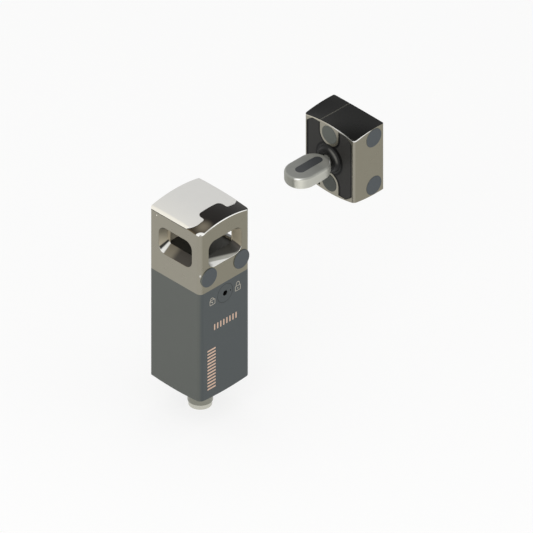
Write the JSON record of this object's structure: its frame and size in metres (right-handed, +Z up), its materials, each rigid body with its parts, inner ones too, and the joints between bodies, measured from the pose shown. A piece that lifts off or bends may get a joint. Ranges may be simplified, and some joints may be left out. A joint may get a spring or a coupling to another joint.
{
  "type": "safety interlock switch",
  "caption": "Square column interlock switch with a steel head that has three tongue openings, and its separate actuator with a swivelling tongue.",
  "frame": {"origin": "midway between the two fixing holes, on the switch's mounting face", "axes": "+X to the right of the switch, towards the actuator; -Y out of the front; +Z up"},
  "size_m": [0.1475, 0.0406, 0.1418],
  "materials": {
    "steel": "polished cast stainless steel",
    "dark_housing": "smooth dark grey moulding",
    "lens": "light-scattering white plastic",
    "plug_plastic": "blue-grey plastic",
    "black_plastic": "black glass-filled plastic",
    "insert_plastic": "dark grey plastic",
    "seal_rubber": "black rubber",
    "board": "green circuit board",
    "led": "clear status light",
    "copper": "enamelled copper wire",
    "bronze": "sintered bronze",
    "bolt_steel": "hardened ground steel",
    "iron": "soft magnetic iron, nickel plated",
    "connector_metal": "nickel-plated brass",
    "contact_gold": "gold-plated contact",
    "tongue_steel": "ground stainless steel"
  },
  "bodies": {
    "switch": {"head_housing": "steel", "status_lens": "lens", "lens_seal": "seal_rubber", "head_base": "steel", "board_spacer": "black_plastic", "lens_pins": "bolt_steel", "led_board": "board", "status_leds": "led", "reader_window": "black_plastic", "antenna_board": "board", "antenna_coil": "copper", "head_gasket": "seal_rubber", "fixing_plugs": "plug_plastic", "bolt_bush": "bronze", "bolt_wiper": "seal_rubber", "lock_spring": "bolt_steel", "solenoid_yoke": "iron", "coil_bobbin": "black_plastic", "coil_winding": "copper", "yoke_standoffs": "bolt_steel", "body_housing": "dark_housing", "main_board": "board", "board_chips": "black_plastic", "connector_shell": "connector_metal", "connector_seal": "seal_rubber", "connector_nut": "connector_metal", "connector_insert": "black_plastic", "connector_contacts": "contact_gold"},
    "lock_bolt": {"lock_bolt": "bolt_steel", "plunger": "iron"},
    "release": {"release_disc": "dark_housing", "release_seal": "seal_rubber", "release_crank": "bolt_steel"},
    "actuator": {"actuator_block": "steel", "face_inserts": "insert_plastic", "front_plugs": "plug_plastic", "side_plugs": "plug_plastic", "socket_cap": "black_plastic", "socket_boot": "seal_rubber", "centring_pad": "seal_rubber"},
    "swivel_liner": {"ball_liner": "black_plastic"},
    "tongue": {"tongue": "tongue_steel", "transponder": "plug_plastic"}
  },
  "joints": [
    {"name": "guard_slide", "type": "slide", "parent": "switch", "child": "actuator", "axis": [-1, 0, 0], "range_m": [0, 0.078]},
    {"name": "lock_slide", "type": "slide", "parent": "switch", "child": "lock_bolt", "axis": [0, 0, 1], "range_m": [0, 0.007], "deforming": ["lock_spring"]},
    {"name": "release_turn", "type": "hinge", "parent": "switch", "child": "release", "pos_m": [0, -0.02, -0.0172], "axis": [0, -1, 0], "range_deg": [0, 180]},
    {"name": "tongue_swing", "type": "hinge", "parent": "actuator", "child": "swivel_liner", "pos_m": [0.1075, -0.02, 0.0145], "axis": [0, 0, 1], "range_deg": [-3, 3], "stiffness_Nm_per_rad": 3},
    {"name": "tongue_tilt", "type": "hinge", "parent": "swivel_liner", "child": "tongue", "pos_m": [0.1075, -0.02, 0.0145], "axis": [0, 1, 0], "range_deg": [-1.5, 1.5], "stiffness_Nm_per_rad": 6}
  ]
}
